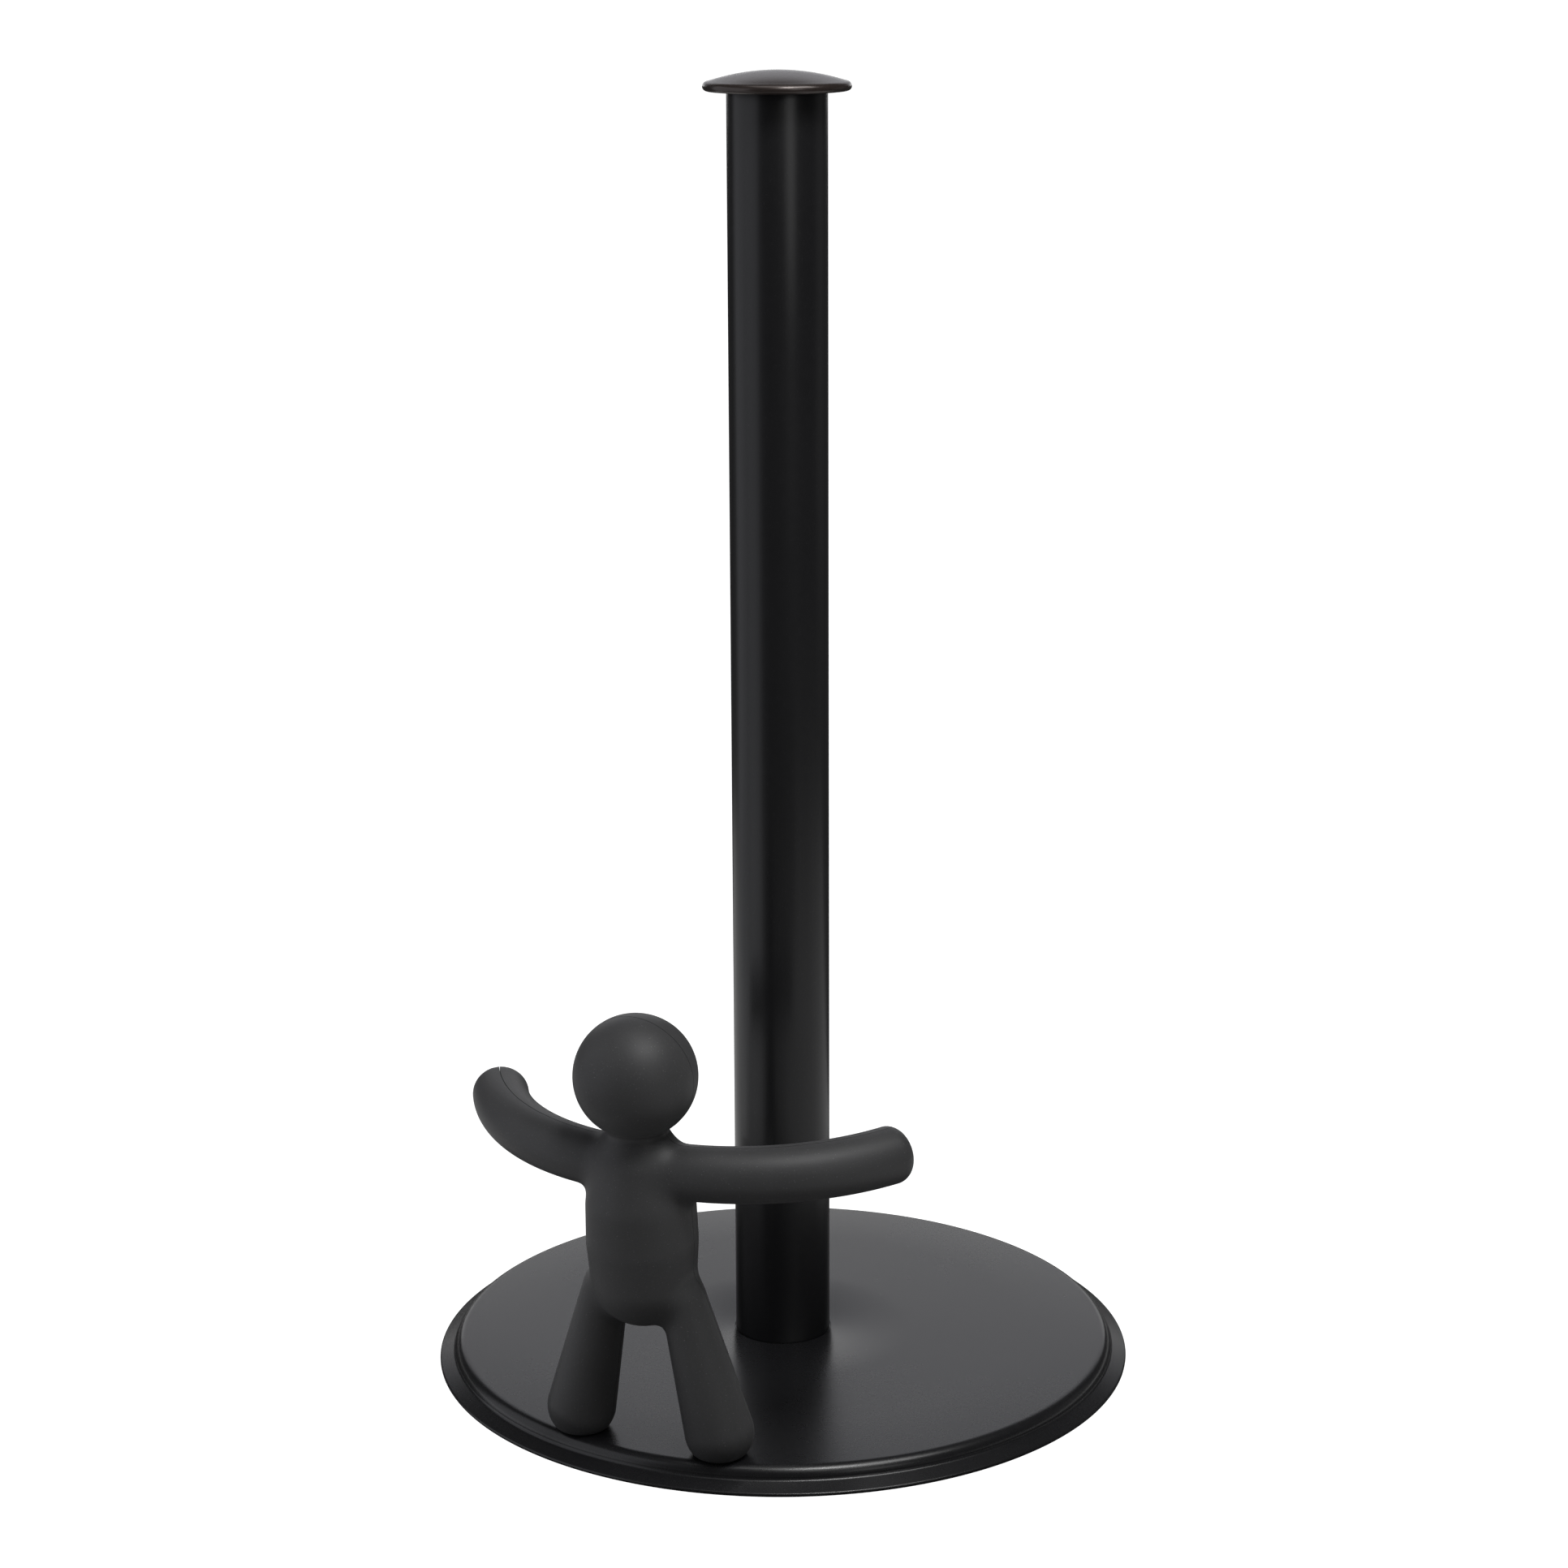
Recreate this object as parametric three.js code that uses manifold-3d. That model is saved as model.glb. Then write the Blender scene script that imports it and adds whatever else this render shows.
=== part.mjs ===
// Paper towel holder. A weighted round base carries an upright post with a domed cap, and a
// small plain figure stands at the rim with its arms reaching round the roll.
// Millimetres, +Z up. The origin is the centre of the underside. The figure stands on the -Y
// side and faces the post.

import * as THREE from 'three';
import { mergeVertices } from 'three/addons/utils/BufferGeometryUtils.js';
import Module from 'manifold-3d';

const wasm = await Module();
wasm.setup();

// Base: a pressed cover plate over a weight disc and a non-slip pad. The shoulder's round is the
// one inside the sheet.
const padThickness = 1.5;
const weightThickness = 3.9;
const plateSheet = 1.2;
const plateRadius = 93;
const rimWidth = 4.2;
const rimRise = 1.55;
const rimFloorGap = 0.6;
const shoulderRound = 1.6;
const weightSideGap = 0.6;
const padInset = 1;

// Post: a round tube on a threaded plug, closed by a domed cap on a stud.
const tubeRadius = 12.7;
const tubeWall = 1.2;
const tubeLength = 330.3;
const postRecess = 0.3;
const footPlugLength = 16;
const capPlugLength = 18;
const capOverhang = 5.95;
const capRimHeight = 2.4;
const capDomeRise = 2.7;
const capUnderRound = 1.1;
const capBossDepth = 3.4;
const studRadius = 3;
const studLength = 14;

// Fasteners.
const boltRadius = 4;
const boltHeadRadius = 7.5;
const boltGrip = 12;
const screwRadius = 1.75;
const screwHeadRadius = 3.5;
const screwInset = 2;
const screwGrip = 10;
const socketDepthShare = 0.55;
const insertRadius = 3.6;
const insertLength = 9;
const insertLift = 2;

// Figure: built upright with its soles at zero, then leant back as one. Each rise is measured
// from the height before it.
const figureInset = 14;
const figureLean = THREE.MathUtils.degToRad(3.1);
const shellWall = 2.4;
const legTopHeight = 40.5;
const hipRise = 5.7;
const bellyRise = 13.2;
const armRise = 15.4;
const headRise = 23.6;
const hipRadius = 13.3;
const bellyRadius = 14.05;
const chestRadius = 11.6;
const neckRadius = 7.6;
const headRadius = 15.3;
const armRadius = 7.1;
const shoulderReach = 4.5;
const armBendRadius = 58.9;
const armSweep = THREE.MathUtils.degToRad(59);
const handRound = 3.2;
const legTopSpread = 10.9;
const legTopRadius = 6;
const footSpread = 19.4;
const footRadius = 8.75;
const soleDepth = 2.65;
const pegRadius = 2;
const pegLength = 4;

// Clearances.
const pressGap = 0.05;
const threadGap = 0.05;
const holeGap = 0.25;
const seamGap = 0.3;
const pegGap = 0.2;

// Facets.
const baseFacets = 72;
const postFacets = 48;
const bodyFacets = 24;
const limbFacets = 12;
const screwFacets = 12;
const roundSteps = 3;
const armSteps = 10;
const partingSteps = 6;

// Heights and places that follow. The plate's inner round is limited by the wall above its rim.
const weightUnderside = padThickness;
const plateUnderside = weightUnderside + weightThickness;
const plateTop = plateUnderside + plateSheet;
const postSeat = plateTop - postRecess;
const tubeTop = postSeat + tubeLength;
const shoulderRadius = plateRadius - rimWidth;
const rimOuterTop = rimFloorGap + plateSheet;
const rimInnerTop = rimOuterTop + rimRise;
const tubeBore = tubeRadius - tubeWall;
const capRadius = tubeRadius + capOverhang;
const innerRound = Math.min(shoulderRound, plateUnderside - rimInnerTop);
const standRadius = plateRadius - figureInset;
const footCentreHeight = footRadius - soleDepth;
const hipHeight = legTopHeight + hipRise;
const bellyHeight = hipHeight + bellyRise;
const armHeight = bellyHeight + armRise;
const headHeight = armHeight + headRise;

// Finishes.
const finishes = {
  blackPowderCoat: { color: 0x2b2b2d, roughness: 0.42, metalness: 0.35 },
  blackGloss: { color: 0x211d1c, roughness: 0.2, metalness: 0.3 },
  softBlack: { color: 0x29292b, roughness: 0.68, metalness: 0 },
  zincSteel: { color: 0xa9abad, roughness: 0.38, metalness: 0.9 },
  plainSteel: { color: 0x6d6e70, roughness: 0.55, metalness: 0.85 },
  brass: { color: 0xb08d4a, roughness: 0.35, metalness: 0.9 },
  blackNylon: { color: 0x1d1d1e, roughness: 0.6, metalness: 0 },
  blackFoam: { color: 0x18181a, roughness: 0.95, metalness: 0 },
};

const up = new THREE.Vector3(0, 0, 1);
const lean = new THREE.Matrix4().makeRotationX(figureLean);
const holder = new THREE.Group();

function solidOf(geometry) {
  const bare = geometry.clone();
  bare.deleteAttribute('normal');
  bare.deleteAttribute('uv');
  const welded = mergeVertices(bare, 1e-4);
  return new wasm.Manifold(new wasm.Mesh({
    numProp: 3,
    vertProperties: new Float32Array(welded.attributes.position.array),
    triVerts: new Uint32Array(welded.index.array),
  }));
}

function geometryOf(solid) {
  const mesh = solid.getMesh();
  const geometry = new THREE.BufferGeometry();
  geometry.setAttribute('position', new THREE.BufferAttribute(new Float32Array(mesh.vertProperties), 3));
  geometry.setIndex(new THREE.BufferAttribute(new Uint32Array(mesh.triVerts), 1));
  return geometry;
}

function addPart(name, geometry, finish, parent = holder) {
  geometry.computeVertexNormals();
  const part = new THREE.Mesh(geometry, new THREE.MeshStandardMaterial(finishes[finish]));
  part.name = name;
  parent.add(part);
  return part;
}

// A turned solid about Z, from a closed profile of [radius, height] points running upwards on
// its outside.
function turned(profile, facets) {
  const points = profile.map(([radius, height]) => new THREE.Vector2(radius, height));
  const lathe = new THREE.LatheGeometry(points, facets);
  return lathe.rotateX(Math.PI / 2);
}

// Points on a quarter round, from angle to angle in degrees.
function roundPoints(centreRadius, centreHeight, radius, from, to) {
  const points = [];
  for (let step = 0; step <= roundSteps; step += 1) {
    const angle = THREE.MathUtils.degToRad(from + (to - from) * step / roundSteps);
    points.push([centreRadius + radius * Math.cos(angle), centreHeight + radius * Math.sin(angle)]);
  }
  return points;
}

function rodAt(radius, bottom, top, facets, x = 0, y = 0) {
  const rod = new THREE.CylinderGeometry(radius, radius, top - bottom, facets);
  return rod.rotateX(Math.PI / 2).translate(x, y, (top + bottom) / 2);
}

function ring(inner, outer, bottom, top, facets) {
  return turned([[inner, bottom], [outer, bottom], [outer, top], [inner, top], [inner, bottom]], facets);
}

// A flat-headed screw standing on its head: a cone head with a hex socket, then a plain shank.
function flatHeadScrew(shankRadius, headRadius, bottom, top) {
  const headHeight = headRadius - shankRadius;
  const body = solidOf(turned([
    [0, bottom],
    [headRadius, bottom],
    [shankRadius, bottom + headHeight],
    [shankRadius, top - shankRadius / 4],
    [shankRadius * 0.75, top],
    [0, top],
  ], screwFacets));
  const socket = rodAt(shankRadius * 0.62, bottom - 1, bottom + headHeight * socketDepthShare, 6);
  return body.subtract(solidOf(socket));
}

// The hole that such a screw passes, with its countersink, from below.
function flatHeadHole(shankRadius, headRadius, bottom, top, x, y) {
  const headHeight = headRadius - shankRadius;
  const hole = turned([
    [0, bottom - 1],
    [headRadius + holeGap, bottom - 1],
    [headRadius + holeGap, bottom],
    [shankRadius + holeGap, bottom + headHeight],
    [shankRadius + holeGap, top + 1],
    [0, top + 1],
  ], screwFacets);
  return solidOf(hole.translate(x, y, 0));
}

// Where the screws rise into the two feet, a little nearer the post than the middle of each
// sole. Measured from the middle of the figure, or from the middle of the base with the offset.
function screwPlaces(offset = 0) {
  return [['left', -footSpread], ['right', footSpread]].map(([side, x]) => ({ side, x, y: screwInset - offset }));
}

// The cover plate: flat top, rounded shoulder, short upright wall and a sloping rim. A shallow
// recess centres the post.
function basePlate() {
  const outerRound = innerRound + plateSheet;
  const roundRadius = shoulderRadius - outerRound;
  const profile = [
    [0, plateUnderside],
    ...roundPoints(roundRadius, plateTop - outerRound, innerRound, 90, 0),
    [shoulderRadius - plateSheet, rimInnerTop - plateSheet],
    [plateRadius, rimFloorGap],
    [plateRadius, rimOuterTop],
    [shoulderRadius, rimInnerTop],
    ...roundPoints(roundRadius, plateTop - outerRound, outerRound, 0, 90),
    [0, plateTop],
  ];
  let plate = solidOf(turned(profile, baseFacets));
  plate = plate.subtract(solidOf(rodAt(boltRadius + holeGap, plateUnderside - 1, plateTop + 1, screwFacets)));
  plate = plate.subtract(solidOf(rodAt(tubeRadius + holeGap, postSeat, plateTop + 1, postFacets)));
  for (const { x, y } of screwPlaces(standRadius)) {
    plate = plate.subtract(solidOf(rodAt(screwRadius + holeGap, plateUnderside - 1, plateTop + 1, screwFacets, x, y)));
  }
  addPart('base_plate', geometryOf(plate), 'blackPowderCoat');
}

// The weight disc fills the plate from below, and every screw head is sunk into it.
function baseWeight() {
  const radius = shoulderRadius - plateSheet - weightSideGap;
  let disc = solidOf(turned([
    [0, weightUnderside],
    [radius, weightUnderside],
    [radius, plateUnderside - innerRound],
    [radius - innerRound, plateUnderside],
    [0, plateUnderside],
  ], baseFacets));
  disc = disc.subtract(flatHeadHole(boltRadius, boltHeadRadius, weightUnderside, plateUnderside, 0, 0));
  for (const { x, y } of screwPlaces(standRadius)) {
    disc = disc.subtract(flatHeadHole(screwRadius, screwHeadRadius, weightUnderside, plateUnderside, x, y));
  }
  addPart('base_weight', geometryOf(disc), 'plainSteel');
}

// The non-slip pad covers the weight and its screws, and stands a little below the rim.
function basePad() {
  const radius = shoulderRadius - plateSheet - weightSideGap - padInset;
  addPart('base_pad', rodAt(radius, 0, padThickness, baseFacets), 'blackFoam');
}

function postTube() {
  addPart('post_tube', ring(tubeBore, tubeRadius, postSeat, tubeTop, postFacets), 'blackPowderCoat');
}

// A steel plug fixed in the tube's lower end takes the bolt that pulls the post onto the plate.
function postFootPlug() {
  const outer = tubeBore - pressGap;
  const plug = ring(boltRadius + threadGap, outer, postSeat, postSeat + footPlugLength, postFacets);
  addPart('post_foot_plug', plug, 'plainSteel');
}

function postBolt() {
  const top = postSeat + boltGrip;
  const bolt = flatHeadScrew(boltRadius, boltHeadRadius, weightUnderside, top);
  addPart('post_bolt', geometryOf(bolt), 'zincSteel');
}

// A moulded bush in the tube's upper end, bored for the cap's stud.
function capPlug() {
  const outer = tubeBore - pressGap;
  const plug = ring(studRadius + threadGap, outer, tubeTop - capPlugLength, tubeTop, postFacets);
  addPart('cap_plug', plug, 'blackNylon');
}

// The stud is fixed in the cap and screws into the bush.
function capStud() {
  const top = tubeTop + capBossDepth - pressGap;
  addPart('cap_stud', rodAt(studRadius, top - studLength, top, screwFacets), 'zincSteel');
}

// The cap: a shallow dome over a rounded rim wider than the tube, narrow enough to pass the
// cardboard core of a roll.
function postCap() {
  const rimRound = capRimHeight - capUnderRound;
  const domeEdge = capRadius - rimRound;
  const domeRadius = (domeEdge * domeEdge + capDomeRise * capDomeRise) / (2 * capDomeRise);
  const domeTop = tubeTop + capRimHeight + capDomeRise;
  const domePoints = [];
  for (let step = 1; step <= 2 * roundSteps; step += 1) {
    const radius = domeEdge * (1 - step / (2 * roundSteps));
    domePoints.push([radius, domeTop - domeRadius + Math.sqrt(domeRadius * domeRadius - radius * radius)]);
  }
  const body = solidOf(turned([
    [0, tubeTop],
    ...roundPoints(capRadius - capUnderRound, tubeTop + capUnderRound, capUnderRound, -90, 0),
    ...roundPoints(domeEdge, tubeTop + capUnderRound, rimRound, 0, 90).slice(1),
    ...domePoints,
  ], postFacets));
  const bore = rodAt(studRadius + threadGap, tubeTop - 1, tubeTop + capBossDepth, screwFacets);
  addPart('post_cap', geometryOf(body.subtract(solidOf(bore))), 'blackGloss');
}

// The line that both arms and the parting of the shells follow, seen from above: straight
// across the shoulders, then bending forwards on a round.
class ArmCurve extends THREE.Curve {
  constructor(side) {
    super();
    this.side = side;
  }

  getPoint(t, target = new THREE.Vector3()) {
    const bend = armBendRadius * armSweep;
    const travel = t * (shoulderReach + bend);
    const angle = Math.max(0, travel - shoulderReach) / armBendRadius;
    const x = Math.min(travel, shoulderReach) + armBendRadius * Math.sin(angle);
    const y = armBendRadius * (1 - Math.cos(angle));
    return target.set(this.side * x, y, armHeight);
  }
}

// One arm, drawn in by inset on every side, with a rounded blunt hand.
function arm(side, inset) {
  const radius = armRadius - inset;
  const curve = new ArmCurve(side);
  const outline = new THREE.Shape().absarc(0, 0, radius, 0, 2 * Math.PI);
  const tube = new THREE.ExtrudeGeometry(outline, {
    extrudePath: curve,
    steps: armSteps,
    curveSegments: limbFacets / 2,
    bevelEnabled: false,
  });
  const reach = handRound - inset;
  const hand = turned([
    [0, -handRound],
    [radius, -handRound],
    ...roundPoints(radius - reach, 0, reach, 0, 90),
    [0, reach],
  ], limbFacets);
  const turn = new THREE.Quaternion().setFromUnitVectors(up, curve.getTangent(1));
  hand.applyQuaternion(turn);
  const tip = curve.getPoint(1);
  hand.translate(tip.x, tip.y, tip.z);
  return solidOf(tube.applyMatrix4(lean)).add(solidOf(hand.applyMatrix4(lean)));
}

// One leg, flaring outwards and downwards to a round foot.
function leg(side, inset) {
  const top = new THREE.Vector3(side * legTopSpread, 0, legTopHeight);
  const ankle = new THREE.Vector3(side * footSpread, 0, footCentreHeight);
  const length = top.distanceTo(ankle);
  const shank = new THREE.CylinderGeometry(footRadius - inset, legTopRadius - inset, length, limbFacets);
  const turn = new THREE.Quaternion().setFromUnitVectors(new THREE.Vector3(0, 1, 0), ankle.clone().sub(top).normalize());
  const middle = top.clone().add(ankle).multiplyScalar(0.5);
  shank.applyQuaternion(turn).translate(middle.x, middle.y, middle.z);
  const foot = new THREE.SphereGeometry(footRadius - inset, limbFacets, limbFacets / 2);
  foot.rotateX(Math.PI / 2).translate(ankle.x, ankle.y, ankle.z);
  const hip = new THREE.SphereGeometry(legTopRadius - inset, limbFacets, limbFacets / 2);
  hip.rotateX(Math.PI / 2).translate(top.x, top.y, top.z);
  const [whole, ...rest] = [shank, foot, hip].map((piece) => solidOf(piece.applyMatrix4(lean)));
  return rest.reduce((form, piece) => form.add(piece), whole);
}

// Head and torso in one turned body: a round seat, a full belly and a neck under a ball head.
function trunk(inset) {
  const headBottom = Math.asin((neckRadius - inset) / (headRadius - inset));
  const head = [];
  const headSteps = 3 * roundSteps;
  for (let step = 0; step <= headSteps; step += 1) {
    const angle = -Math.PI / 2 + headBottom + (Math.PI - headBottom) * step / headSteps;
    const radius = (headRadius - inset) * Math.cos(angle);
    head.push([Math.max(radius, 0), headHeight + (headRadius - inset) * Math.sin(angle)]);
  }
  const seat = roundPoints(0, hipHeight, hipRadius - inset, -90, -10);
  const profile = new THREE.SplineCurve([
    new THREE.Vector2(...seat[seat.length - 1]),
    new THREE.Vector2(bellyRadius - inset, bellyHeight),
    new THREE.Vector2(chestRadius - inset, armHeight),
    new THREE.Vector2(...head[0]),
  ]);
  const flank = profile.getPoints(3 * roundSteps).slice(1, -1).map((point) => [point.x, point.y]);
  return solidOf(turned([...seat, ...flank, ...head], bodyFacets).applyMatrix4(lean));
}

function figureForm(inset) {
  let form = trunk(inset);
  for (const side of [-1, 1]) {
    form = form.add(arm(side, inset)).add(leg(side, inset));
  }
  return form;
}

// Everything in front of the parting line, grown backwards by a margin.
function frontRegion(margin) {
  const bend = armBendRadius + margin;
  const far = armBendRadius * 2;
  const outline = new THREE.Shape();
  outline.moveTo(-shoulderReach - bend, far);
  outline.lineTo(-shoulderReach - bend, armBendRadius);
  outline.absarc(-shoulderReach, armBendRadius, bend, Math.PI, 1.5 * Math.PI);
  outline.absarc(shoulderReach, armBendRadius, bend, 1.5 * Math.PI, 2 * Math.PI);
  outline.lineTo(shoulderReach + bend, far);
  outline.closePath();
  const height = headHeight + 2 * headRadius;
  const region = new THREE.ExtrudeGeometry(outline, { depth: height, curveSegments: partingSteps, bevelEnabled: false });
  return solidOf(region.translate(0, 0, -headRadius).applyMatrix4(lean));
}

// A slab that keeps only what stands on the plate, or above a given height.
function above(height) {
  const size = 4 * (armBendRadius + shoulderReach);
  return solidOf(new THREE.BoxGeometry(size, size, size).translate(0, 0, height + size / 2));
}

// Round pegs across the parting that line the two shells up: [x, z] of each.
function pegPlaces() {
  return [[0, headHeight], [0, armHeight - armRadius - pegRadius], [0, hipHeight]];
}

function crossRod(radius, from, to, x, z) {
  const rod = new THREE.CylinderGeometry(radius, radius, to - from, screwFacets);
  return solidOf(rod.translate(x, (from + to) / 2, z).applyMatrix4(lean));
}

// The two moulded half shells. They part along the middle of the arms, and the soles are cut
// level with the plate.
function figureShells(figure) {
  const inside = figureForm(shellWall).intersect(above(insertLift + insertLength + shellWall));
  const outside = figureForm(0).intersect(above(0));
  const hollow = outside.subtract(inside);
  let front = hollow.intersect(frontRegion(0));
  let back = hollow.subtract(frontRegion(seamGap));
  for (const [x, z] of pegPlaces()) {
    const post = crossRod(pegRadius * 2, -2 * bellyRadius, 2 * bellyRadius, x, z).intersect(outside);
    const socket = crossRod(pegRadius + pegGap, -bellyRadius, pegLength + pegGap, x, z);
    front = front.add(post.intersect(frontRegion(0))).subtract(socket);
    back = back.add(post.subtract(frontRegion(seamGap)));
    back = back.add(crossRod(pegRadius, -pegLength, pegLength, x, z));
  }
  for (const { x, y } of screwPlaces()) {
    const pocketTop = insertLift + insertLength + seamGap;
    const screwHole = solidOf(rodAt(screwRadius + holeGap, -1, insertLift + 1, screwFacets, x, y));
    const pocket = solidOf(rodAt(insertRadius + pegGap, insertLift - seamGap, pocketTop, 6, x, y));
    front = front.subtract(screwHole).subtract(pocket);
    back = back.subtract(screwHole).subtract(pocket);
  }
  addPart('figure_front_shell', geometryOf(front), 'softBlack', figure);
  addPart('figure_back_shell', geometryOf(back), 'softBlack', figure);
}

// A hexagonal brass insert is caught between the shells in each foot, and a flat-headed screw
// from under the weight runs into it.
function footFastenings(figure) {
  for (const { side, x, y } of screwPlaces()) {
    const body = solidOf(rodAt(insertRadius, insertLift, insertLift + insertLength, 6, x, y));
    const bore = solidOf(rodAt(screwRadius + threadGap, 0, insertLift + insertLength + 1, screwFacets, x, y));
    addPart(`foot_insert_${side}`, geometryOf(body.subtract(bore)), 'brass', figure);
    const screw = geometryOf(flatHeadScrew(screwRadius, screwHeadRadius, weightUnderside, plateTop + screwGrip));
    addPart(`foot_screw_${side}`, screw, 'zincSteel').position.set(x, y - standRadius, 0);
  }
}

function standingFigure() {
  const figure = new THREE.Group();
  figure.position.set(0, -standRadius, plateTop);
  holder.add(figure);
  figureShells(figure);
  footFastenings(figure);
}

basePlate();
baseWeight();
basePad();
postTube();
postFootPlug();
postBolt();
capPlug();
capStud();
postCap();
standingFigure();

export default holder;
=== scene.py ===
import math

import bpy
import numpy as np
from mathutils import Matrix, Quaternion, Vector


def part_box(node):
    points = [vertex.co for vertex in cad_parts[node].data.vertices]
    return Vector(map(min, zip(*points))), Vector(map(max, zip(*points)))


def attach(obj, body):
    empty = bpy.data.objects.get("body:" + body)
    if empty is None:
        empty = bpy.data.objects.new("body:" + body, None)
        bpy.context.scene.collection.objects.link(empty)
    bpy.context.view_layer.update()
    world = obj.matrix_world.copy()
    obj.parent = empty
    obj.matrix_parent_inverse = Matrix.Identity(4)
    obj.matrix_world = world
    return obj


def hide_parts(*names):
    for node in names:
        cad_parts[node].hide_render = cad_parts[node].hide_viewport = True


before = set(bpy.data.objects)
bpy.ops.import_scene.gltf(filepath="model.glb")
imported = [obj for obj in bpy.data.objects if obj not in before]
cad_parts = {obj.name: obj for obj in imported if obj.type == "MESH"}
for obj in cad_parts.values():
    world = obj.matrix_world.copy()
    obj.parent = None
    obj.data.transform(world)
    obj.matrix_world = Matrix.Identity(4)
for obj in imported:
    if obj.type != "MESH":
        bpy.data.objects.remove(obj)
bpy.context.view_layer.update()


# Viewing angle. The holder is seen from behind the little figure's right shoulder and slightly
# above, with a long lens, as a tabletop product is usually shown.
view_turn = math.radians(24.98)
view_dip = math.radians(14.541)
view_roll = math.radians(0.26)
view_distance = 0.8794
view_height = 0.3867
view_side = 0.00095
across = Vector((math.cos(view_turn), math.sin(view_turn), 0))
back_off = Vector((math.sin(view_turn), -math.cos(view_turn), 0))

camera_data = bpy.data.cameras.new("product_camera")
camera_data.sensor_width = 36
camera_data.lens = 79.82
camera_data.clip_start = 0.05
camera_data.clip_end = 50
camera = bpy.data.objects.new("product_camera", camera_data)
camera.location = back_off * view_distance + across * view_side + Vector((0, 0, view_height))
sight = -back_off * math.cos(view_dip) - Vector((0, 0, math.sin(view_dip)))
camera.rotation_mode = "QUATERNION"
camera.rotation_quaternion = Quaternion(sight, view_roll) @ sight.to_track_quat("-Z", "Y")
bpy.context.scene.collection.objects.link(camera)
bpy.context.scene.camera = camera


# Studio. A pale sweep runs under the holder and rises far behind it, evenly lit, with soft boxes
# on both sides and overhead, and white cards on the table round the base, as a catalogue shows
# things on a pale ground.
class Socket:
    """A shader socket that takes part in sums, and makes the nodes that the sums need."""

    def __init__(self, tree, socket):
        self.tree = tree
        self.socket = socket

    def node(self, kind, settings=None, out=0, **inputs):
        made = self.tree.nodes.new(kind)
        for key, value in (settings or {}).items():
            setattr(made, key, value)
        for key, value in inputs.items():
            by_place = key[0] == "i" and key[1:].isdigit()
            target = made.inputs[int(key[1:]) if by_place else key.replace("_", " ")]
            if isinstance(value, Socket):
                self.tree.links.new(value.socket, target)
            else:
                target.default_value = value
        return Socket(self.tree, made.outputs[out])

    def maths(self, operation, first, second):
        return self.node("ShaderNodeMath", {"operation": operation}, i0=first, i1=second)

    def __add__(self, other):
        return self.maths("ADD", self, other)

    def __radd__(self, other):
        return self.maths("ADD", other, self)

    def __sub__(self, other):
        return self.maths("SUBTRACT", self, other)

    def __rsub__(self, other):
        return self.maths("SUBTRACT", other, self)

    def __mul__(self, other):
        return self.maths("MULTIPLY", self, other)

    def __rmul__(self, other):
        return self.maths("MULTIPLY", other, self)

    def blend(self, low, high):
        """Goes from one colour to another as this value goes from 0 to 1."""
        low, high = (shade if isinstance(shade, Socket) else (*shade, 1) for shade in (low, high))
        return self.node("ShaderNodeMix", {"data_type": "RGBA"}, out=2, i0=self, i6=low, i7=high)

    def ramp(self, low, high):
        """0 below low, 1 above high, and straight between."""
        return self.node("ShaderNodeMapRange", {"clamp": True},
                         i0=self, i1=low, i2=high, i3=0.0, i4=1.0)


def surface(name, **constants):
    """An empty finish: its shader, with the constants on its own sockets, and the place on the
    object that its patterns are made from."""
    material = bpy.data.materials.new(name)
    material.use_nodes = True
    tree = material.node_tree
    shader = tree.nodes["Principled BSDF"]
    for key, value in constants.items():
        shader.inputs[key.replace("_", " ")].default_value = value
    place = Socket(tree, shader.outputs[0]).node("ShaderNodeTexCoord", out="Object")
    return material, shader, place


def drive(shader, **sources):
    for key, source in sources.items():
        source.tree.links.new(source.socket, shader.inputs[key.replace("_", " ")])


def noise(place, scale, detail=2.0, roughness=0.5):
    return place.node("ShaderNodeTexNoise", Vector=place, Scale=scale, Detail=detail, Roughness=roughness)


def mesh_object(name, points, faces, smooth_below=None):
    mesh = bpy.data.meshes.new(name)
    mesh.from_pydata([tuple(p) for p in points], [], faces)
    mesh.update()
    if smooth_below is not None:
        mesh.shade_smooth()
        mesh.set_sharp_from_angle(angle=smooth_below)
    made = bpy.data.objects.new(name, mesh)
    bpy.context.scene.collection.objects.link(made)
    return made


sweep_width = 6.0
sweep_front = -2.5
sweep_back = 3.2
sweep_bend = 1.2
sweep_height = 3.5
sweep_steps = 24
sweep_drop = 0.0002
sweep_glow = 1.1

profile = [(sweep_front, 0.0), (sweep_back - sweep_bend, 0.0)]
for step in range(1, sweep_steps + 1):
    angle = math.pi / 2 * step / sweep_steps
    profile.append((sweep_back - sweep_bend + sweep_bend * math.sin(angle),
                    sweep_bend * (1 - math.cos(angle))))
profile.append((sweep_back, sweep_height))
points = []
for away, height in profile:
    for side in (-sweep_width / 2, sweep_width / 2):
        points.append(across * side - back_off * away + Vector((0, 0, height - sweep_drop)))
faces = [(2 * i, 2 * i + 1, 2 * i + 3, 2 * i + 2) for i in range(len(profile) - 1)]
sweep = mesh_object("studio_sweep", points, faces, smooth_below=math.radians(60))
material, shader, place = surface("pale_sweep", Roughness=0.9, Emission_Strength=sweep_glow)
patch = noise(place, 1.5)
drive(shader, Base_Color=patch.blend((0.2, 0.2, 0.2), (0.22, 0.22, 0.22)),
      Emission_Color=patch.blend((0.985, 0.985, 0.985), (1.0, 1.0, 1.0)))
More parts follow.
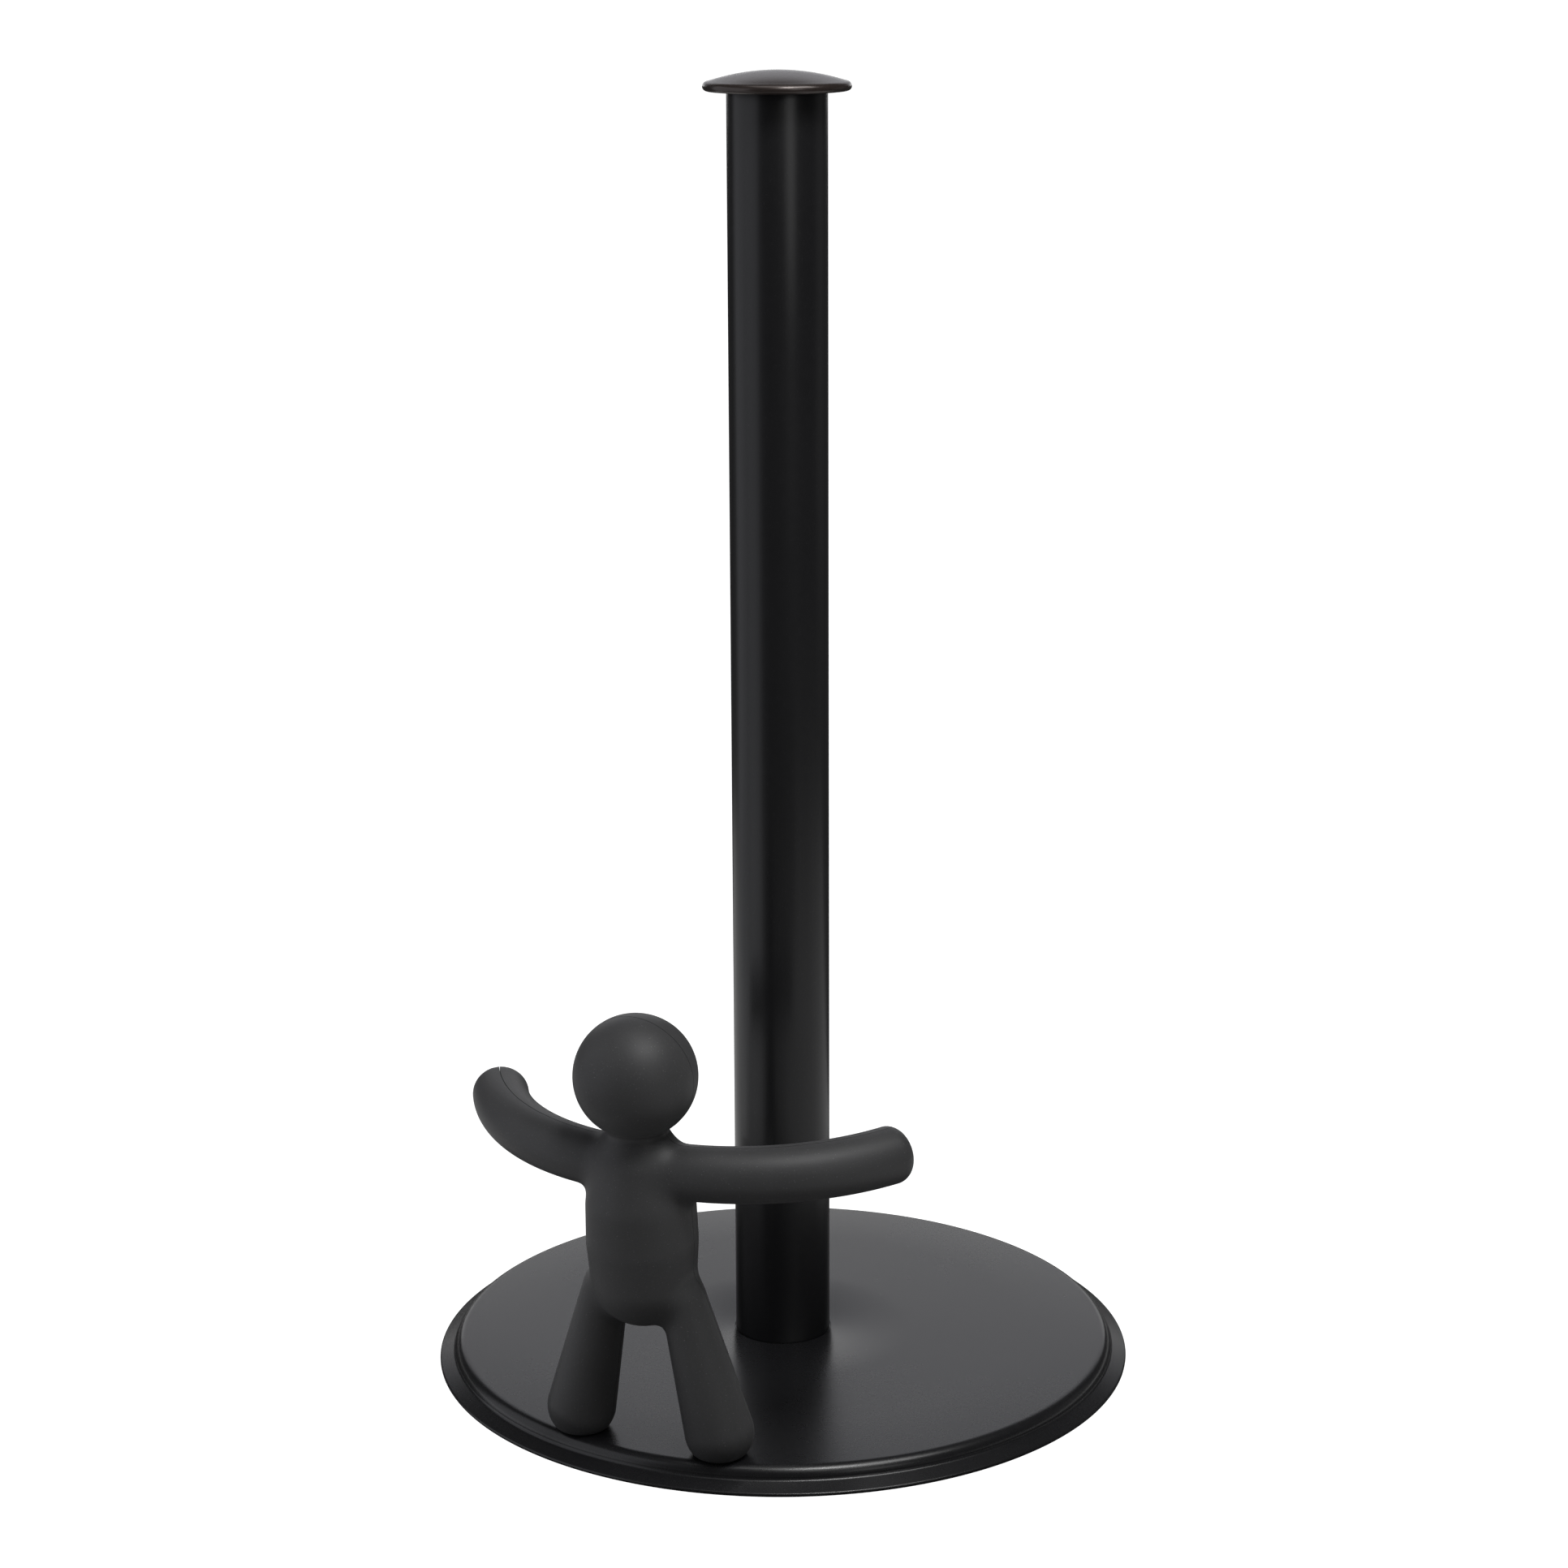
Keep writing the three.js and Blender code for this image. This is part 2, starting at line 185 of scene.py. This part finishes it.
# The sweep is one-sided, so that it doesn't hide the holder's underside from below.
from_below = place.node("ShaderNodeNewGeometry", out="Backfacing")
clear = place.node("ShaderNodeBsdfTransparent")
pale = Socket(place.tree, shader.outputs[0])
one_sided = place.node("ShaderNodeMixShader", i0=from_below, i1=pale, i2=clear)
place.tree.links.new(one_sided.socket, place.tree.nodes["Material Output"].inputs["Surface"])
sweep.data.materials.append(material)
sweep.visible_glossy = False
sweep.visible_diffuse = False

# The air is as white as the sweep where it is seen, and dim as a light on the holder.
air_light = 0.045
world = bpy.data.worlds.new("studio_air")
world.use_nodes = True
world_tree = world.node_tree
background = world_tree.nodes["Background"]
background.inputs["Color"].default_value = (1, 1, 1, 1)
background.inputs["Strength"].default_value = air_light
dim_air = Socket(world_tree, background.outputs[0])
seen = dim_air.node("ShaderNodeLightPath", out="Is Camera Ray")
white_air = dim_air.node("ShaderNodeBackground", Color=(1, 1, 1, 1), Strength=sweep_glow)
air = dim_air.node("ShaderNodeMixShader", i0=seen, i1=dim_air, i2=white_air)
world_tree.links.new(air.socket, world_tree.nodes["World Output"].inputs["Surface"])
bpy.context.scene.world = world
bpy.context.scene.view_settings.view_transform = "Standard"


def soft_box(name, turn, lift, distance, width, tall, glow, aim=(0, 0, 0.11), tint=(1, 1, 1),
             flat=False):
    """A soft box, placed by its angles from the holder and aimed at it, or a white card laid flat
    on the table and lit from above. The glow is its brightness."""
    lamp = bpy.data.lights.new(name, "AREA")
    lamp.shape = "RECTANGLE"
    lamp.size = width
    lamp.size_y = tall
    lamp.color = tint
    lamp.energy = glow * math.pi * width * tall
    box = bpy.data.objects.new(name, lamp)
    side, rise = view_turn + math.radians(turn), math.radians(lift)
    away = Vector((math.sin(side) * math.cos(rise), -math.cos(side) * math.cos(rise), math.sin(rise)))
    box.location = Vector(aim) + away * distance
    if flat:
        box.rotation_euler = (math.pi, 0, side)
    else:
        box.rotation_mode = "QUATERNION"
        box.rotation_quaternion = (-away).to_track_quat("-Z", "Y")
    box.visible_camera = False
    bpy.context.scene.collection.objects.link(box)


box_distance = 0.9
side_distance = 0.8
back_distance = 1.6
back_turn = 180
card_height = 0.001
cool = (0.93, 0.94, 1.0)
for name, turn, lift, size, glow in (
        ("key_box", 21, 62, 0.17, 21.0),
        ("second_box", 50, 60, 0.4, 5.0),
        ("low_box", 12, 50, 0.25, 1.2),
        ("front_box", 20, 40, 0.35, 0.8),
        ("top_box", 0, 82, 0.6, 1.1)):
    soft_box(name, turn, lift, box_distance, size, size, glow)
soft_box("tall_strip", turn=30, lift=0, distance=1.2, width=0.4, tall=0.4, glow=1.3,
         aim=(0, 0, 0.475))
for name, turn, glow in (("left_panel", -62, 0.68), ("left_back_panel", -98, 0.64)):
    soft_box(name, turn, lift=6, distance=side_distance, width=0.5, tall=1.0, glow=glow,
             aim=(0, 0, 0.2), tint=cool)
soft_box("right_panel", turn=110, lift=0, distance=1.0, width=0.5, tall=0.5, glow=0.1,
         aim=(0, 0, 0.25))
soft_box("back_strip", back_turn, lift=4, distance=back_distance, width=1.6, tall=0.2, glow=1.6,
         aim=(0, 0, 0.3))
for name, lift, width, tall, glow in (
        ("back_middle", 23, 1.9, 0.3, 0.62),
        ("back_high", 36, 1.4, 0.4, 0.7)):
    soft_box(name, back_turn, lift, back_distance, width, tall, glow, aim=(0, 0, 0), tint=cool)
for name, turn, distance, width, tall, glow in (
        ("right_card", 60, 0.31, 0.4, 0.4, 0.52),
        ("right_side_card", 100, 0.31, 0.3, 0.4, 0.5),
        ("front_card", 0, 0.30, 0.3, 0.3, 0.22),
        ("left_card", -60, 0.31, 0.4, 0.4, 0.32),
        ("back_left_card", -135, 0.33, 0.3, 0.4, 0.62)):
    soft_box(name, turn, 0, distance, width, tall, glow, aim=(0, 0, card_height), flat=True)


# Cover plate. Pressed sheet steel, powder coated satin black: a flat top with a soft shoulder, a
# short wall and a sloping rim that keeps the weight hidden.
MM = 0.001


def arc(centre, radius, start, end, steps):
    """Points on a round in the turning plane, from angle to angle in degrees."""
    made = []
    for step in range(steps + 1):
        angle = math.radians(start + (end - start) * step / steps)
        made.append((centre[0] + radius * math.cos(angle), centre[1] + radius * math.sin(angle)))
    return made


def turned(name, outline, segments, smooth_below=math.radians(32)):
    """A closed turned solid, from a closed outline of (radius, height) in mm that runs upwards
    on its outer side."""
    points, faces, rings = [], [], []
    for radius, height in outline:
        if radius < 1e-6:
            rings.append([len(points)])
            points.append((0, 0, height * MM))
            continue
        first = len(points)
        rings.append(range(first, first + segments))
        for k in range(segments):
            angle = 2 * math.pi * k / segments
            points.append((radius * MM * math.cos(angle), radius * MM * math.sin(angle), height * MM))
    for low, high in zip(rings, rings[1:] + rings[:1]):
        for k in range(segments):
            n = (k + 1) % segments
            if len(low) == 1 and len(high) == 1:
                break
            if len(low) == 1:
                faces.append((low[0], high[n], high[k]))
            elif len(high) == 1:
                faces.append((low[k], low[n], high[0]))
            else:
                faces.append((low[k], low[n], high[n], high[k]))
    return mesh_object(name, points, faces, smooth_below)


plate_low, plate_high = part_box("base_plate")
tube_low, tube_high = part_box("post_tube")
weight_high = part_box("base_weight")[1]
plate_radius = plate_high.x / MM
plate_top = plate_high.z / MM
plate_edge = plate_low.z / MM
post_seat = tube_low.z / MM
tube_radius = tube_high.x / MM
sheet = plate_top - weight_high.z / MM
rim_width = 4.2
rim_rise = 1.55
shoulder_round = 1.6 + sheet
edge_round = 0.5
corner_round = 0.9
corner_lift = 0.72
lip_lift = 0.1
recess_gap = 0.25
recess_edge = 0.12
plate_segments = 320

wall_radius = plate_radius - rim_width
rim_tilt = math.degrees(math.atan2(rim_rise, rim_width))
rim_inner = plate_edge + sheet + rim_rise
recess_radius = tube_radius + recess_gap
shoulder = (wall_radius - shoulder_round, plate_top - shoulder_round)
lip_under = (plate_radius - edge_round, plate_edge + edge_round + lip_lift)
lip_over = (plate_radius - edge_round, plate_edge + sheet - edge_round)
corner = (wall_radius + corner_round, rim_inner + corner_round * corner_lift)
recess_lip = (recess_radius + recess_edge, plate_top - recess_edge)
outline = [(0, plate_top - sheet)]
outline += arc(shoulder, shoulder_round - sheet, 90, 0, steps=8)
outline += [(wall_radius - sheet, rim_inner - sheet)]
outline += arc(lip_under, edge_round, -90 - rim_tilt, 0, steps=5)
outline += arc(lip_over, edge_round, 0, 90 - rim_tilt, steps=5)
outline += arc(corner, corner_round, -90 - rim_tilt, -180, steps=5)
outline += arc(shoulder, shoulder_round, 0, 90, steps=14)
outline += [(wall_radius * share, plate_top) for share in (0.72, 0.4)]
outline += arc(recess_lip, recess_edge, 90, 180, steps=3)
outline += [(recess_radius, post_seat), (0, post_seat)]
cover = turned("cover_plate", outline, plate_segments)

coat_black = (0.008, 0.008, 0.0088)
coat_grey = (0.012, 0.012, 0.0132)
dust_grey = (0.06, 0.06, 0.06)


def bump(height, distance, strength=1.0):
    return height.node("ShaderNodeBump", Height=height, Distance=distance, Strength=strength)

def powder_coat(name, roughness, specular):
    """Satin black powder coat: faint orange peel, slow changes of gloss and a little fine dust."""
    material, shader, place = surface(name, Specular_IOR_Level=specular)
    slow = noise(place, 9.0, 3.0)
    peel = noise(place, 420.0, 2.0)
    dust = noise(place, 2600.0, 0.0).ramp(0.74, 0.8)
    tone = (slow * 0.8 + peel * 0.2).ramp(0.3, 0.7).blend(coat_black, coat_grey)
    drive(shader,
          Base_Color=(dust * 0.15).blend(tone, dust_grey),
          Roughness=roughness + (slow - 0.5) * 0.05 + (peel - 0.5) * 0.02,
          Normal=bump(peel, 0.000006, 0.15))
    return material


cover.data.materials.append(powder_coat("plate_powder_coat", 0.27, 0.48))
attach(cover, "root")
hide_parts("base_plate")


# Weight and pad, under the plate. A plain steel disc gives the holder its grip on the table, and
# a thin foam rubber pad stuck under it keeps it from sliding and covers the screws.
def steel(name, colour, worn, roughness, ring_scale):
    """Mill-finished steel: fine turning rings, a mottled oxide and a few rubbed spots."""
    material, shader, place = surface(name, Metallic=0.9)
    mottle = noise(place, 60.0, 4.0)
    grain = noise(place, 900.0, 2.0)
    rings = place.node("ShaderNodeTexWave", {"wave_type": "RINGS", "rings_direction": "Z"},
                       out=1, Vector=place, Scale=ring_scale, Distortion=0.6, Detail=2.0)
    drive(shader,
          Base_Color=(mottle * 0.7 + grain * 0.3).ramp(0.3, 0.7).blend(colour, worn),
          Roughness=roughness + (mottle - 0.5) * 0.2 + (rings - 0.5) * 0.08,
          Normal=bump(rings * 0.6 + grain * 0.4, 0.00003, 0.4))
    return material


def finish_cad(node, material, smooth_below=math.radians(28)):
    """Gives a carried-over piece its finish."""
    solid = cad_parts[node]
    solid.data.materials.clear()
    solid.data.materials.append(material)
    solid.data.shade_smooth()
    solid.data.set_sharp_from_angle(angle=smooth_below)


finish_cad("base_weight", steel("weight_steel", colour=(0.11, 0.11, 0.115),
                                worn=(0.22, 0.22, 0.225), roughness=0.5, ring_scale=260.0))

pad_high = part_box("base_pad")[1]
pad_radius = pad_high.x / MM
pad_top = pad_high.z / MM
pad_edge = 0.35
outline = [(0, 0), (pad_radius * 0.5, 0)]
outline += arc((pad_radius - pad_edge, pad_edge), pad_edge, -90, 0, steps=4)
outline += arc((pad_radius - pad_edge / 2, pad_top - pad_edge / 2), pad_edge / 2, 0, 90, steps=3)
outline += [(pad_radius * 0.5, pad_top), (0, pad_top)]
pad = turned("non_slip_pad", outline, segments=200)
material, shader, place = surface("foam_rubber", Specular_IOR_Level=0.25)
cells = place.node("ShaderNodeTexVoronoi", Vector=place, Scale=1300.0)
patch = noise(place, 25.0, 3.0)
lint = noise(place, 700.0, 3.0).ramp(0.68, 0.76)
foam = patch.blend((0.012, 0.012, 0.013), (0.022, 0.022, 0.023))
drive(shader,
      Base_Color=(lint * 0.25).blend(foam, (0.12, 0.12, 0.12)),
      Roughness=0.82 + patch * 0.15,
      Normal=bump(cells + patch * 0.3, 0.00012, 0.6))
pad.data.materials.append(material)
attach(pad, "root")
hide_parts("base_pad")


# Post. Drawn steel tube, one inch across, with the same powder coat as the plate, its ends cut
# square and lightly broken.
tube_wall = 1.2
tube_top = tube_high.z / MM
tube_break = 0.2
bore = tube_radius - tube_wall
outline = [(bore, post_seat)]
outline += arc((tube_radius - tube_break, post_seat + tube_break), tube_break, -90, 0, steps=3)
for share in (0.2, 0.4, 0.6, 0.8):
    outline.append((tube_radius, post_seat + (tube_top - post_seat) * share))
outline += arc((tube_radius - tube_break, tube_top - tube_break), tube_break, 0, 90, steps=3)
outline += [(bore, tube_top)]
post = turned("post", outline, segments=192)
post.data.materials.append(powder_coat("post_powder_coat", 0.3, 0.45))
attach(post, "root")
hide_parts("post_tube")


# Cap. A shallow spun dome with a rounded rim, wider than the post so that a roll's core slides
# over it, in a smoother and slightly browner black.
cap_low, cap_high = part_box("post_cap")
cap_radius = cap_high.x / MM
cap_under = cap_low.z / MM
cap_top = cap_high.z / MM
under_round = 1.1
rim_round = 1.3
dome_rise = 2.7
stud_radius = 3.05
stud_depth = 3.4
dome_edge = cap_radius - rim_round
dome_radius = (dome_edge ** 2 + dome_rise ** 2) / (2 * dome_rise)
dome_slope = math.degrees(math.asin(dome_edge / dome_radius))
outline = [(0, cap_under + stud_depth), (stud_radius, cap_under + stud_depth)]
outline += [(stud_radius, cap_under)]
outline += arc((cap_radius - under_round, cap_under + under_round), under_round, -90, 0, steps=8)
outline += arc((dome_edge, cap_under + under_round), rim_round, 0, 90 - dome_slope, steps=10)[1:]
outline += arc((0, cap_top - dome_radius), dome_radius, 90 - dome_slope, 90, steps=24)[1:-1]
outline += [(0, cap_top)]
cap = turned("domed_cap", outline, segments=200)
material, shader, place = surface("cap_gloss_black", Specular_IOR_Level=0.6,
                                  Specular_Tint=(1.0, 0.9, 0.86, 1.0))
slow = noise(place, 40.0, 3.0)
fine = noise(place, 1600.0, 2.0)
drive(shader,
      Base_Color=slow.ramp(0.3, 0.7).blend((0.021, 0.0158, 0.0142), (0.028, 0.0215, 0.0195)),
      Roughness=0.26 + (slow - 0.5) * 0.05 + (fine - 0.5) * 0.04,
      Normal=bump(fine, 0.00001, 0.15))
cap.data.materials.append(material)
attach(cap, "root")
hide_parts("post_cap")


# Post fixings, all inside. A steel plug and a flat-headed bolt hold the post's foot; a moulded
# bush and a plated stud hold the cap.
def zinc(name):
    """Bright zinc plate, with the plating's soft cloud and fine scratches."""
    material, shader, place = surface(name, Metallic=1.0)
    cloud = noise(place, 220.0, 3.0)
    scratch = noise(place, 2400.0, 2.0)
    drive(shader,
          Base_Color=cloud.ramp(0.3, 0.7).blend((0.5, 0.51, 0.53), (0.66, 0.66, 0.65)),
          Roughness=0.28 + cloud * 0.16 + (scratch - 0.5) * 0.1,
          Normal=bump(scratch, 0.00002, 0.3))
    return material


zinc_plate = zinc("zinc_plate")
for node in ("post_bolt", "cap_stud", "foot_screw_left", "foot_screw_right"):
    finish_cad(node, zinc_plate)
finish_cad("post_foot_plug", steel("plug_steel", colour=(0.2, 0.2, 0.205),
                                   worn=(0.34, 0.34, 0.345), roughness=0.42, ring_scale=900.0))
material, shader, place = surface("bush_nylon", Specular_IOR_Level=0.4)
grain = noise(place, 1100.0, 3.0)
cloud = noise(place, 70.0, 2.0)
drive(shader,
      Base_Color=cloud.blend((0.012, 0.012, 0.012), (0.024, 0.024, 0.025)),
      Roughness=0.5 + (cloud - 0.5) * 0.2 + (grain - 0.5) * 0.1,
      Normal=bump(grain, 0.00004, 0.4))
finish_cad("cap_plug", material)


# Figure. Two hollow mouldings with a soft-touch black skin, bonded along a fine seam that runs
# round the head, along the arms and down the legs. It stands at the rim and leans out a little.
stand_radius = 79.0
figure_lean = math.radians(3.1)
# The head and the trunk's rings are heights and radii, a leg's ends have their distance to the side
# first, and the arm's radius goes from the chest to the hand.
head = (98.6, 15.4)
trunk = [(46.2, 13.3), (55.4, 13.98), (64.5, 13.75), (73.7, 11.55), (82.9, 7.46)]
arm_height = 74.8
arm_radius = (6.9, 7.3)
shoulder_reach = 4.5
arm_bend = 58.9
arm_length = 68.5
hand_round = 3.6
leg_top = (10.9, 40.5, 5.85)
foot = (19.4, 6.1, 8.75)
arm_blend = 3.4
leg_blend = 3.6
neck_blend = 1.6
sole_blend = 1.0
shell_wall = 2.4
seam_gap = 0.16
seam_break = 0.14
net_pitch = 0.8
skin_rounds = 3
seam_rounds = 6


def round_cone(across, along, length, start, end):
    """Distance to two balls a length apart and the cone that wraps them."""
    slope = (start - end) / length
    rise = math.sqrt(1 - slope * slope)
    side = rise * along - slope * across
    low = np.hypot(across, along) - start
    high = np.hypot(across, along - length) - end
    flank = across * rise + along * slope - start
    return np.where(side < 0, low, np.where(side > rise * length, high, flank))


def soft_join(a, b, blend):
    """The nearer of two, with a fillet where they meet."""
    overlap = np.maximum(blend - np.abs(a - b), 0)
    return np.minimum(a, b) - overlap * overlap / (4 * blend)


def parting(x, y):
    """How far a place is in front of the parting, which bends forwards with the arms."""
    return arm_bend - np.hypot(np.maximum(np.abs(x) - shoulder_reach, 0), arm_bend - y)


def upright(x, y, z):
    """From the plate to the figure's own upright frame."""
    cos, sin = math.cos(figure_lean), math.sin(figure_lean)
    return x, y * cos + z * sin, z * cos - y * sin


def skin(x, y, z):
    """Distance to the figure's surface, from the middle of its soles at the plate's level."""
    u, v, w = upright(x, y, z)
    ring = np.hypot(u, v)
    body = None
    for (low, start), (high, end) in zip(trunk, trunk[1:]):
        piece = round_cone(ring, w - low, high - low, start, end)
        body = piece if body is None else np.minimum(body, piece)
    reach = np.abs(u)
    bend = np.arctan2(np.maximum(reach - shoulder_reach, 0), arm_bend - v)
    travel = np.minimum(reach, shoulder_reach) + arm_bend * bend
    off_line = np.hypot(parting(u, v), w - arm_height)
    thick = arm_radius[0] + (arm_radius[1] - arm_radius[0]) * np.clip(travel / arm_length, 0, 1)
    side = off_line - thick + hand_round
    end = travel - arm_length + hand_round
    arm = (np.hypot(np.maximum(side, 0), np.maximum(end, 0))
           + np.minimum(np.maximum(side, end), 0) - hand_round)
    leg_x, leg_z = foot[0] - leg_top[0], leg_top[1] - foot[1]
    length = math.hypot(leg_x, leg_z)
    along = ((reach - foot[0]) * -leg_x + (w - foot[1]) * leg_z) / length
    away = np.hypot(((reach - foot[0]) * leg_z + (w - foot[1]) * leg_x) / length, v)
    leg = round_cone(away, along, length, foot[2], leg_top[2])
    form = soft_join(soft_join(body, leg, leg_blend), arm, arm_blend)
    ball = np.sqrt(ring * ring + (w - head[0]) ** 2) - head[1]
    form = soft_join(form, ball, neck_blend)
    return -soft_join(-form, z, sole_blend)


def slope_of(field, points, step=0.02):
    """The field's value and slope at each point."""
    value = field(*points.T)
    slope = np.empty_like(points)
    for axis in range(3):
        ahead, behind = points.copy(), points.copy()
        ahead[:, axis] += step
        behind[:, axis] -= step
        slope[:, axis] = (field(*ahead.T) - field(*behind.T)) / (2 * step)
    return value, slope


def settle(field, points, level=0.0):
    """Moves points onto the field's surface at a level, the short way."""
    value, slope = slope_of(field, points)
    steep = np.maximum((slope * slope).sum(1), 1e-9)
    return points - slope * ((value - level) / steep)[:, None]


def wrapped(field, low, high, pitch):
    """A closed net of four-sided faces on the field's zero surface."""
    axes = [np.arange(a, b + pitch, pitch) for a, b in zip(low, high)]
    grid = field(*np.meshgrid(*axes, indexing="ij"))
    inside = grid < 0
    corners = [(i, j, k) for i in (0, 1) for j in (0, 1) for k in (0, 1)]
    size = [n - 1 for n in grid.shape]
    at = lambda a, c: a[c[0]:c[0] + size[0], c[1]:c[1] + size[1], c[2]:c[2] + size[2]]
    count = sum(at(inside, c).astype(np.int8) for c in corners)
    cells = np.argwhere((count > 0) & (count < 8))
    number = np.full(size, -1)
    number[tuple(cells.T)] = np.arange(len(cells))
    total, hits = np.zeros((len(cells), 3)), np.zeros(len(cells))
    for a in corners:
        for axis in range(3):
            if a[axis]:
                continue
            b = tuple(v + (n == axis) for n, v in enumerate(a))
            start, end = at(grid, a)[tuple(cells.T)], at(grid, b)[tuple(cells.T)]
            crossed = (start < 0) != (end < 0)
            share = np.where(crossed, start / np.where(crossed, start - end, 1), 0)
            place = np.array(a, float) + share[:, None] * np.eye(3)[axis]
            total += np.where(crossed[:, None], place, 0)
            hits += crossed
    points = np.array(low) + pitch * (cells + total / hits[:, None])
    faces = []
    for axis in range(3):
        one, two = (axis + 1) % 3, (axis + 2) % 3
        ahead = np.take(inside, range(1, grid.shape[axis]), axis)
        behind = np.take(inside, range(0, grid.shape[axis] - 1), axis)
        edges = np.argwhere(ahead != behind)
        edges = edges[(edges[:, one] > 0) & (edges[:, two] > 0)]
        quad = []
        for shift_one, shift_two in ((0, 0), (-1, 0), (-1, -1), (0, -1)):
            cell = edges.copy()
            cell[:, one] += shift_one
            cell[:, two] += shift_two
            quad.append(number[tuple(cell.T)])
        quad = np.stack(quad, 1)
        flip = ahead[tuple(edges.T)]
        faces.append(np.where(flip[:, None], quad[:, ::-1], quad))
    return points, np.concatenate(faces)


def seam_field(x, y, z):
    """How far a place on the leaning figure is in front of the parting."""
    return parting(*upright(x, y, z)[:2])


# The mesh at the seam changes with every number above, and a change can leave stray faces there.
net_side = shoulder_reach + arm_bend + 12
net_back, net_front = -26, 48
net_low, net_high = -2, head[0] + head[1] + 3
points, quads = wrapped(skin, (-net_side, net_back, net_low), (net_side, net_front, net_high),
                        net_pitch)
for _ in range(skin_rounds):
    points = settle(skin, points)
side = seam_field(*points.T)
edges = np.concatenate([quads[:, [k, (k + 1) % 4]] for k in range(4)])
edges = np.unique(np.sort(edges, axis=1), axis=0)
crossed = edges[(side[edges[:, 0]] < 0) != (side[edges[:, 1]] < 0)]
first_nearer = np.abs(side[crossed[:, 0]]) < np.abs(side[crossed[:, 1]])
on_seam = np.unique(np.where(first_nearer, crossed[:, 0], crossed[:, 1]))
for _ in range(seam_rounds):
    moved = settle(seam_field, points[on_seam])
    points[on_seam] = settle(skin, moved)
points[on_seam] = settle(seam_field, points[on_seam])
side[on_seam] = 0

material, shader, place = surface("soft_touch_black", Specular_IOR_Level=0.31, Sheen_Weight=0.03,
                                  Sheen_Roughness=0.5)
grain = noise(place, 2200.0, 2.0)
slow = noise(place, 45.0, 3.0)
# The light grey specks are painted sparkle: painted glints of the skin's fine texture, put into its
# colour.
painted_sparkle = noise(place, 3000.0, 0.0).ramp(0.76, 0.82)
tone = (slow * 0.6 + grain * 0.4).ramp(0.3, 0.7).blend((0.043, 0.043, 0.044),
                                                       (0.054, 0.054, 0.0555))
drive(shader,
      Base_Color=(painted_sparkle * 0.4).blend(tone, (0.16, 0.16, 0.16)),
      Roughness=0.5 + (slow - 0.5) * 0.08 + (grain - 0.5) * 0.12,
      Normal=bump(grain, 0.00005, 0.3))

for name, sign, node in (("figure_front", 1, "figure_front_shell"),
                         ("figure_back", -1, "figure_back_shell")):
    keep = side * sign >= 0
    faces = []
    for quad in quads:
        here = keep[quad]
        if here.all():
            faces.append([int(v) for v in quad])
        elif here.sum() == 3:
            faces.append([int(v) for v in quad[here]])
    faces = [f for f in faces if any(side[v] != 0 for v in f)]
    used = sorted({v for f in faces for v in f})
    renumber = {old: new for new, old in enumerate(used)}
    placed = points[used].copy()
    rim = np.isin(used, on_seam)
    placed[rim] = settle(seam_field, placed[rim], level=sign * seam_gap / 2)
    placed = (placed + np.array([0, -stand_radius, plate_top])) * MM
    shell = mesh_object(name, placed, [[renumber[v] for v in f] for f in faces])
    shell.data.shade_smooth()
    wall = shell.modifiers.new("wall", "SOLIDIFY")
    wall.thickness = shell_wall * MM
    wall.offset = -1
    broken = shell.modifiers.new("broken_edge", "BEVEL")
    broken.width = seam_break * MM
    broken.segments = 2
    broken.limit_method = "ANGLE"
    broken.angle_limit = math.radians(50)
    broken.harden_normals = True
    shell.data.materials.append(material)
    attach(shell, "root")
    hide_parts(node)


# Foot fixings, inside the feet. A hexagonal brass insert is caught between the two mouldings in
# each foot, and takes the screw from under the weight.
material, shader, place = surface("insert_brass", Metallic=1.0)
tarnish = noise(place, 160.0, 4.0)
grain = noise(place, 1900.0, 2.0)
drive(shader,
      Base_Color=tarnish.ramp(0.3, 0.7).blend((0.42, 0.27, 0.1), (0.66, 0.47, 0.2)),
      Roughness=0.3 + tarnish * 0.2,
      Normal=bump(grain, 0.00003, 0.3))
for node in ("foot_insert_left", "foot_insert_right"):
    finish_cad(node, material)
